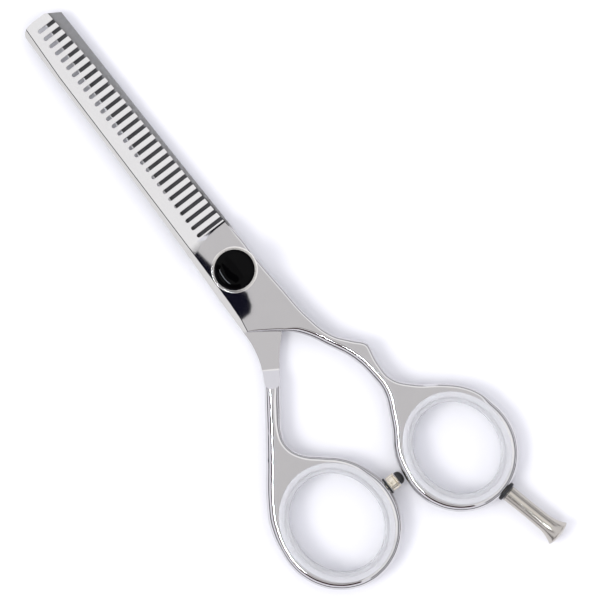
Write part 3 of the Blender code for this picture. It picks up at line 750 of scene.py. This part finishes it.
def makeCombHalf():
    c = combHalf
    slab = roundedSlab("toothedHalf", combKnots(fingerRing), low, high)
    made = newObject("toothedHalf", slab, steel["body"])
    slope = planeHeight((-6.9, c["grindY"], high - 0.1), (5.0, c["grindY"], combBottom + c["rootThickness"]),
                        (-5.5, tipY, combBottom + c["tipThickness"]))
    bedFoot = c["grindY"] + c["wallLength"]
    bed = []
    for x, y in c["bedEnd"]:  # the ground bed of the teeth, running out gently at the spine side
        bed.append([(x, y, high + 0.0005), (x, bedFoot, slope(x, bedFoot)),
                    (x, 100.0, slope(x, 100.0)), (x, 100.0, 40.0), (x, y, 40.0)])
    bedCutter = sweptCutter("bed", bed, steel["ground"])
    line = [(-4.15, 75.0), (-4.85, 60.0), (-5.05, 30.0), (-5.23, bedFoot), (-5.26, 8.35), (-5.3, 5.0),
            (-5.4, 0.0), (-5.5, -5.0), (-5.8, -10.0), (-6.35, -13.2), (-6.6, -14.2)]
    lean = c["facetLean"]
    strip = []
    for x, y in line:  # the long facet down the back of the blade
        z = slope(x, y) if y > c["grindY"] else high
        strip.append([(x + 0.5, y, z + 0.5 * lean), (x - 6, y, z - 6 * lean), (x - 6, y, 30),
                      (x + 0.5, y, 30)])
    facet = sweptCutter("facet", strip, steel["body"])
    shadedScore = []
    for x, y in line:  # fine groove where the facet meets the face, coloured near black: a painted dark line of shade
        z = slope(x, y) if y > c["grindY"] else high
        shadedScore.append([(x - 0.19, y, z + 0.05), (x + 0.11, y, z + 0.05), (x - 0.03, y, z - 0.09)])
    shadedScoreCutter = sweptCutter("shadedScore", shadedScore, steel["shadedScore"])
    thin, full = c["underRamp"]
    # the lapped underside takes the darkened hollow steel, painted shade
    under = sideCutter("under", [(100, combBottom), (thin, combBottom), (full, low), (full, -20), (100, -20)],
                       steel["hollow"])
    hole = prism("fingerHole", fingerRing.ellipse(fingerRing.hole), -10, 20, steel["body"])
    seat = rimSeat("restSeat", restMouth(), fingerRing.outward(c["restAngle"]), rest, steel["body"])
    cutters = [hole, under, *pivotCutters(steel["body"]), bedCutter, facet, shadedScoreCutter, makeSlots(), seat]
    for cutter in cutters:
        cutAway(made, cutter)
    bakeShape(made)
    dropCutters(cutters)
    made.data.materials.append(steel["wall"])
    wall = made.data.materials.find(steel["wall"].name)
    for face in made.data.polygons:  # the leaning wall at the end of the bed, which takes the painted shade
        x, y = face.center.x / mm, face.center.y / mm
        if 9.0 < y < bedFoot + 0.01 and x > -1 and 0.2 < face.normal.z < 0.95:
            face.material_index = wall
    return finishPiece(made, "finger_half", "comb_steel", "comb_half")


toothedHalf = makeCombHalf()
print("toothed half ready:", len(toothedHalf.data.polygons), "faces")


# plain half

plainHalf = {
    "bladeEdge": 0.1, "landEdge": 0.2, "innerEdge": 1.75, "outerEdge": 1.95, "rimEdge": 1.6,
    "scoopStart": -23.6, "scoopEnd": -28.3, "scoopCurve": 1.4, "shankTurn": 33.0, "grindStart": 8.3,
    "edgeDrop": 0.85, "tipDrop": 1.3,
}


def plainKnots(ring):
    c = plainHalf
    b, l, n, o, r = (c[key] for key in ("bladeEdge", "landEdge", "innerEdge", "outerEdge", "rimEdge"))
    grindY = combHalf["grindY"]
    end = tipY - 0.3
    along = lambda share: grindY + share * (tipY - grindY)
    knots = [(0.4, end - 0.4, b, 1), (2.0, end, b, 1), (4.7, end - 1.7, b, 1)]
    knots += [(5.2, along(0.3), b), (5.6, 5.0, b), (5.6, -5.0, b), (4.0, -13.0, b), (0.0, -17.8, l)]
    knots += [(-3.5, -21.5, l), (-7.3, -26.5, 1.2), (-11.0, -31.8, n), (-14.6, -37.0, 1.3)]
    knots += [(-15.2, -39.8, 1.1), (-14.0, -43.0, 1.1)]
    knots += [(*ring.around(a, s), 1.2) for a, s in ((63, 1.076), (51, 1.047), (36, 1.02))]
    knots += ring.arc(20, -190, r)
    knots += [(*ring.around(a, s), o) for a, s in ((146, 1.066), (128.5, 1.143))]
    knots += [(-21.0, -39.0, o), (-14.0, -29.5, o), (-9.8, -23.5, 1.2), (-7.6, -17.0, l)]
    knots += [(-7.3, -12.8, b), (-6.9, 0.0, b), (-6.5, 5.0, b), (-4.8, grindY - 1.3, b)]
    knots += [(-2.5, grindY + 1.2, b, 1), (-0.1, end - 2.7, b, 1)]
    return knots


def makePlainHalf():
    c = plainHalf
    slab = roundedSlab("plainHalf", plainKnots(thumbRing), low, high)
    made = newObject("plainHalf", slab, steel["plain"])
    outline = [(100, plainTop)]
    for k in range(15):  # the lapped face runs out in a hollow, square to the shank
        share = k / 14
        outline.append((c["scoopStart"] + share * (c["scoopEnd"] - c["scoopStart"]),
                        plainTop + share ** c["scoopCurve"] * (high + 0.1 - plainTop)))
    lap = sideCutter("lap", outline + [(c["scoopEnd"], 40), (100, 40)], steel["plain"])
    lap.data.transform(Matrix.Rotation(math.radians(-c["shankTurn"]), 4, "Z"))
    grindY, start = combHalf["grindY"], c["grindStart"]
    slope = planeHeight((5.7, grindY, low + 0.1), (-2.5, grindY, plainTop - c["edgeDrop"]),
                        (4.7, tipY, plainTop - c["tipDrop"]))
    under = []
    for x in (-20.0, 20.0):
        under.append([(x, start, slope(x, start)), (x, 100, slope(x, 100)), (x, 100, -20), (x, start, -20)])
    grind = sweptCutter("grind", under, steel["ground"])
    hole = prism("thumbHole", thumbRing.ellipse(thumbRing.hole), -10, 20, steel["plain"])
    seatX = boxOf("bumper_washer")[0].x - fit
    seat = rimSeat("stopSeat", (seatX, bumper["y"]), (1, 0), bumper, steel["plain"])
    cutters = [hole, lap, *pivotCutters(steel["plain"]), grind, seat]
    for cutter in cutters:
        cutAway(made, cutter)
    bakeShape(made)
    dropCutters(cutters)
    made.data.materials.append(steel["honedShaded"])
    honedShaded = made.data.materials.find(steel["honedShaded"].name)
    for face in made.data.polygons:  # the inner face of the blade, ground for cutting, with painted shade under the comb's teeth
        if face.normal.z > 0.99 and abs(face.center.z - plainTop * mm) < 0.02 * mm:
            face.material_index = honedShaded
    return finishPiece(made, "thumb_half", "plain_steel", "plain_half")


plainPiece = makePlainHalf()
print("plain half ready:", len(plainPiece.data.polygons), "faces")


# ring liners

liner = {"innerRound": 0.75, "outerRound": 0.42, "grooveAt": 1.12, "grooveHalf": 0.34, "grooveDepth": 0.2}


def linerTree():
    # sweeps the object's own mesh, the profile, round an ellipse
    tree = bpy.data.node_groups.new("linerSweep", "GeometryNodeTree")
    side = tree.interface
    for name, kind in (("Profile", "NodeSocketGeometry"), ("Half axes", "NodeSocketVector"),
                       ("Centre", "NodeSocketVector"), ("Stations", "NodeSocketInt"),
                       ("Finish", "NodeSocketMaterial")):
        side.new_socket(name, in_out="INPUT", socket_type=kind)
    side.new_socket("Liner", in_out="OUTPUT", socket_type="NodeSocketGeometry")
    link = tree.links.new

    def node(kind, *inputs):
        made = tree.nodes.new(kind)
        for key, socket in inputs:
            link(socket, made.inputs[key])
        return made

    given = node("NodeGroupInput").outputs
    circle = node("GeometryNodeCurvePrimitiveCircle", ("Resolution", given["Stations"]))
    sized = node("GeometryNodeTransform", ("Geometry", circle.outputs[0]), ("Scale", given["Half axes"]))
    flat = node("GeometryNodeSetCurveNormal", ("Curve", sized.outputs[0]))
    flat.mode = "Z_UP"
    profile = node("GeometryNodeMeshToCurve", ("Mesh", given["Profile"]))
    sweep = node("GeometryNodeCurveToMesh", ("Curve", flat.outputs[0]), ("Profile Curve", profile.outputs[0]))
    moved = node("GeometryNodeTransform", ("Geometry", sweep.outputs[0]), ("Translation", given["Centre"]))
    real = node("GeometryNodeRealizeInstances", ("Geometry", moved.outputs[0]))
    done = node("GeometryNodeSetMaterial", ("Geometry", real.outputs[0]), ("Material", given["Finish"]))
    node("NodeGroupOutput", ("Liner", done.outputs[0]))
    return tree


def linerProfile(ring):
    # cross-section about the opening's edge: (outward, height), with the ring's metal in its groove
    wall = ring.wall
    reach = wall + fit + ring.lipWidth
    foot, top = low - fit, high + fit
    lipLow, lipHigh = boxOf("finger_insert")[0].z, boxOf("finger_insert")[1].z
    b, o = liner["innerRound"], liner["outerRound"]
    g, h, d = liner["grooveAt"], liner["grooveHalf"], liner["grooveDepth"]
    knots = [(0, lipLow, b), (0, lipHigh, b), (g - h, lipHigh, 0.1), (g, lipHigh - d, 0.12),
             (g + h, lipHigh, 0.1), (reach, lipHigh, o), (reach, top, 0.08), (wall, top), (wall, foot),
             (reach, foot, 0.08), (reach, lipLow, o)]
    return filleted(knots, closed=True, steps=6)


def makeLiner(name, ring, tree, body, node):
    profile = linerProfile(ring)
    count = len(profile)
    mesh = bpy.data.meshes.new(name)
    mesh.from_pydata([(x * mm, -z * mm, 0) for x, z in profile],
                     [(i, (i + 1) % count) for i in range(count)], [])
    made = newObject(name, mesh)
    runTree(made, tree, {"Half axes": ring.opening.to_3d() * mm + Vector((0, 0, 1)),
                         "Centre": ring.centre.to_3d() * mm, "Stations": 160, "Finish": clearLiner})
    shape = bmesh.new()
    shape.from_mesh(made.data)
    bmesh.ops.recalc_face_normals(shape, faces=shape.faces)
    shape.to_mesh(made.data)
    shape.free()
    return finishPiece(made, body, "clear_insert", node)


sweepTree = linerTree()
makeLiner("fingerLiner", fingerRing, sweepTree, "finger_half", "finger_insert")
makeLiner("thumbLiner", thumbRing, sweepTree, "thumb_half", "thumb_insert")
print("ring liners ready")


# tension knob and its cap

knob = {"edgeRound": 0.22, "skirt": 0.6, "bore": 1.65, "hubWall": 0.75, "capDome": 0.7, "capEdge": 0.18}


def makeKnob():
    lowest, highest = boxOf("tension_knob")
    radius, foot, top = highest.x, lowest.z, highest.z
    capLow, capHigh = boxOf("knob_cap")
    recess = capHigh.x + fit
    floor = capLow.z - fit
    edgeRound, bore = knob["edgeRound"], knob["bore"]
    hub, skirt = bore + knob["hubWall"], radius - knob["skirt"]
    springLow, springHigh = boxOf("spring_washer")
    profile = [(recess, top, 0.12), (radius, top, edgeRound), (radius, foot, edgeRound), (skirt, foot, 0.1),
               (skirt, springHigh.z + fit), (hub, springHigh.z + fit), (hub, springLow.z),
               (bore, springLow.z), (bore, floor), (recess, floor)]
    rim = newObject("dialRim", turnedMesh("dialRim", filleted(profile, closed=True, steps=6), closed=True,
                                          steps=120), steel["dial"])
    finishPiece(rim, "knob", "knob_steel", "tension_knob")
    r = capHigh.x
    edge = capHigh.z - knob["capDome"] - knob["capEdge"]
    shell = [(0.0, capHigh.z)]
    for k in range(1, 25):  # low dome
        turn = math.pi / 2 * k / 24
        shell.append((r * math.sin(turn), edge + (capHigh.z - edge) * math.cos(turn) ** 1.15))
    shell += [(r, capLow.z), (0, capLow.z)]
    dome = newObject("dialCap", turnedMesh("dialCap", shell, steps=120), dialBlack)
    finishPiece(dome, "knob", "knob_black", "knob_cap")


makeKnob()
print("tension knob ready")


# bumper between the rings

def makeBumper():
    b = bumper
    seat = boxOf("bumper_washer")[0].x - fit
    place = laidDown((seat, b["y"]), (1, 0), middle)
    foot, r = b["barrelFoot"], b["barrelRadius"]
    top = foot + b["barrelLength"]
    notch = foot + b["barrelLength"] * b["groove"]
    pinTop = top + b["pinLength"]
    profile = [(0, pinTop), (b["pinRadius"], pinTop), (b["pinRadius"], top), (r, top, 0.16),
               (r, notch + 0.14, 0.04), (r - 0.17, notch, 0.05), (r, notch - 0.14, 0.04),
               (r, foot + 0.62, 0.03), (r - 0.07, foot + 0.56, 0.03), (r - 0.07, foot + 0.42, 0.03),
               (r, foot + 0.36, 0.03), (r, foot, 0.1), (b["studRadius"], foot),
               (b["studRadius"], -b["studDepth"]), (0, -b["studDepth"])]
    stud = newObject("stopBarrel", turnedMesh("stopBarrel", filleted(profile), place=place), steel["barrel"])
    finishPiece(stud, "thumb_half", "bumper_steel", "bumper_stud")
    inner, outer, thick = b["studRadius"] + fit, b["washerRadius"], b["washer"]
    washer = [(inner, fit), (outer, fit, 0.2), (outer, fit + thick, 0.2), (inner, fit + thick)]
    ringMesh = turnedMesh("stopWasher", filleted(washer, closed=True), closed=True, place=place)
    finishPiece(newObject("stopWasher", ringMesh, blackRubber), "thumb_half", "black_rubber", "bumper_washer")
    capFoot, side = top + fit, b["capSide"]
    capTop = capFoot + b["capLength"]
    shell = [(0.0, capTop)]
    for k in range(1, 15):  # straight side under a round top
        turn = math.pi / 2 * k / 14
        shell.append((b["capRadius"] * math.sin(turn),
                      capFoot + side + (capTop - capFoot - side) * math.cos(turn)))
    bore = b["pinRadius"] + fit
    inside = [(b["capRadius"], capFoot), (bore, capFoot), (bore, pinTop + fit), (0, pinTop + fit)]
    cap = newObject("stopCap", turnedMesh("stopCap", shell + inside, place=place), blackRubber)
    finishPiece(cap, "thumb_half", "black_rubber", "bumper_cap")


makeBumper()


# finger rest

def makeRest():
    c = rest
    place = laidDown(restMouth(), fingerRing.outward(combHalf["restAngle"]), middle)
    foot = fit + c["washer"] + fit
    end = foot + c["length"]
    spread = c["endRadius"] - c["radius"]
    dome = [((c["endRadius"] - 0.1) * math.sin(math.pi / 2 * k / 8),
             end + c["endDome"] * math.cos(math.pi / 2 * k / 8) ** 1.6) for k in range(8)]
    dome[0] = (0.0, end + c["endDome"])
    lip = [(c["endRadius"] - 0.06, end), (c["endRadius"], end - 0.1), (c["endRadius"], end - 0.2)]
    flare = [(c["radius"] + spread * (1 - k / 14) ** 2.2, end - 0.2 - c["flare"] * k / 14)
             for k in range(1, 15)]
    waist = c["radius"] - c["waist"]
    span = flare[-1][1] - foot
    bar = [(waist + c["waist"] * abs(2 * k / 12 - 1) ** 2, flare[-1][1] - span * k / 12)
           for k in range(1, 12)]
    bar += [(c["radius"], foot + 0.12), (c["radius"] - 0.1, foot), (c["studRadius"], foot),
            (c["studRadius"], -c["studDepth"]), (0, -c["studDepth"])]
    turned = turnedMesh("fingerRest", dome + lip + flare + bar, place=place)
    made = newObject("fingerRest", turned, steel["rest"])
    finishPiece(made, "finger_half", "rest_steel", "finger_rest")
    inner = c["studRadius"] + fit
    washer = [(inner, fit), (c["washerRadius"], fit, 0.3), (c["washerRadius"], fit + c["washer"], 0.3),
              (inner, fit + c["washer"])]
    ringMesh = turnedMesh("restWasher", filleted(washer, closed=True), closed=True, place=place)
    finishPiece(newObject("restWasher", ringMesh, blackRubber), "finger_half", "black_rubber",
                "finger_rest_washer")


makeRest()
print("bumper and finger rest ready")


# hidden pivot pieces, kept as they are

for node, finish in (("pivot_screw", steel["pivot"]), ("pivot_bush", steel["pivot"]),
                     ("click_washer", steel["pivot"]), ("spring_washer", steel["pivot"]),
                     ("blade_washer", nylon), ("face_washer", nylon)):
    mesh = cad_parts[node].data
    mesh.materials.clear()
    mesh.materials.append(finish)


# bench, light and camera

studio = {"distance": 1.2, "width": 0.1396, "centre": (0.0077, -0.01477), "turn": -37.68,
          "floor": (0.93, 0.93, 0.95), "sky": (0.90, 0.90, 0.96), "skyLight": 1.15, "key": 0.9,
          "keySoftness": 24.0, "keyFrom": (-0.55, 0.19, 0.81)}
centre = Vector((*studio["centre"], 0.0))


def glowPaint(name, colour, strength):
    paint = Paint(name)
    drift = paint.noise(220.0, 1.0)
    glow = paint.add("ShaderNodeEmission", {}, {
        "Color": paint.blend(drift, tuple(c * 0.97 for c in colour), colour), "Strength": strength})
    output = paint.nodes.new("ShaderNodeOutputMaterial")
    paint.links.new(glow.socket, output.inputs["Surface"])
    return paint.material


def setAside(made):
    # a card that only gloss sees
    made.visible_camera = False
    made.visible_diffuse = False
    made.visible_transmission = False
    made.visible_volume_scatter = False
    made.visible_shadow = False
    return made


def flatCard(name, outline, height, colour, strength=1.0):
    # outline of (x, y) in metres, at a height in metres
    mesh = bpy.data.meshes.new(name)
    mesh.from_pydata([(x, y, height) for x, y in outline], [], [tuple(range(len(outline)))])
    return setAside(newObject(name, mesh, glowPaint(name, colour, strength)))


def skyBand(name, azimuths, tilts, colour, strength=1.0, radius=1.0):
    # part of a dome that only gloss sees: azimuths from +X towards +Y, tilts from straight up, in degrees
    across, down = 24, 6
    points = []
    for i in range(across + 1):
        turn = math.radians(azimuths[0] + (azimuths[1] - azimuths[0]) * i / across)
        for j in range(down + 1):
            tilt = math.radians(tilts[0] + (tilts[1] - tilts[0]) * j / down)
            points.append(centre + Vector((math.sin(tilt) * math.cos(turn), math.sin(tilt) * math.sin(turn),
                                           math.cos(tilt))) * radius)
    faces = []
    for i in range(across):
        for j in range(down):
            corner = i * (down + 1) + j
            faces.append((corner, corner + 1, corner + down + 2, corner + down + 1))
    mesh = bpy.data.meshes.new(name)
    mesh.from_pydata(points, [], faces)
    return setAside(newObject(name, mesh, glowPaint(name, colour, strength)))


def mirrored(points, height):
    # where a level mirror at each point (in mm) shows the camera a card at that height
    share = height / studio["distance"]
    return [((x * mm) + (x * mm - centre.x) * share, (y * mm) + (y * mm - centre.y) * share)
            for x, y in points]


flatCard("overheadCard", [(-0.5, -0.5), (0.078, -0.5), (0.078, 0.5), (-0.5, 0.5)], 1.0, (0.80, 0.79, 0.80))
flatCard("whiteCard", [(0.078, -0.5), (0.6, -0.5), (0.6, 0.5), (0.078, 0.5)], 1.0, (1.0, 0.995, 1.0), 1.28)
flatCard("inkCard", mirrored([(-5.3, 12), (-4.2, 9), (-3.7, 5), (-2.8, 0), (-0.9, -6), (-1.9, -9),
                              (-3.2, -10.2), (-6.4, -10.2), (-7.0, -5), (-7.0, 5), (-6.4, 12)], 0.035), 0.035,
         (0.004, 0.004, 0.014))
flatCard("stripCard", [(-0.198, -0.13), (-0.184, -0.13), (-0.184, 0.15), (-0.198, 0.15)], 0.5,
         (0.85, 0.92, 1.0), 65.0)
skyBand("redBand", (125, 252), (36, 48), (0.07, 0.016, 0.019))
skyBand("leftRedBand", (125, 151), (24, 37), (0.045, 0.014, 0.017), radius=0.95)
skyBand("rightRedBand", (194, 252), (24, 37), (0.03, 0.012, 0.014), radius=0.95)
skyBand("darkBand", (125, 252), (9, 15), (0.06, 0.03, 0.033))
skyBand("paleBand", (100, 300), (16, 36), (0.98, 0.98, 0.98), 1.1)
skyBand("farBand", (125, 310), (75, 92), (0.07, 0.065, 0.07))
skyBand("greyBand", (-100, 50), (44, 66), (0.34, 0.34, 0.35))
skyBand("lowBand", (-100, 50), (80, 92), (0.12, 0.12, 0.125))


def makeFloor():
    paint = Paint("bench")
    speck = paint.noise(1.2, 2.0)
    floorFinish = paint.finish(Base_Color=paint.blend(speck, tuple(c * 0.995 for c in studio["floor"]),
                                                      studio["floor"]), Roughness=0.9,
                               Specular_IOR_Level=0.0)
    level = cadBox[0][2] - 0.00002
    mesh = bpy.data.meshes.new("bench")
    mesh.from_pydata([(-3, -3, level), (3, -3, level), (3, 3, level), (-3, 3, level)], [], [(0, 1, 2, 3)])
    newObject("bench", mesh, floorFinish)


makeFloor()
world = bpy.data.worlds.new("studio")
world.use_nodes = True
world.node_tree.nodes["Background"].inputs["Color"].default_value = (*studio["sky"], 1.0)
world.node_tree.nodes["Background"].inputs["Strength"].default_value = studio["skyLight"]
bpy.context.scene.world = world

key = bpy.data.lights.new("key", "SUN")
key.energy = studio["key"]
key.angle = math.radians(studio["keySoftness"])
key.color = (1.0, 0.995, 0.98)
keyLight = bpy.data.objects.new("key", key)
keyLight.rotation_euler = Vector(studio["keyFrom"]).to_track_quat("Z", "Y").to_euler()
keyLight.visible_glossy = False
bpy.context.scene.collection.objects.link(keyLight)

lens = bpy.data.cameras.new("camera")
lens.sensor_width = 36.0
lens.lens = lens.sensor_width * studio["distance"] / studio["width"]
lens.clip_start = 0.05
lens.clip_end = 10.0
camera = bpy.data.objects.new("camera", lens)
camera.location = (centre.x, centre.y, studio["distance"])
camera.rotation_euler = (0.0, 0.0, math.radians(studio["turn"]))
bpy.context.scene.collection.objects.link(camera)
bpy.context.scene.camera = camera
bpy.context.scene.view_settings.view_transform = "Standard"
print("bench, light and camera ready")
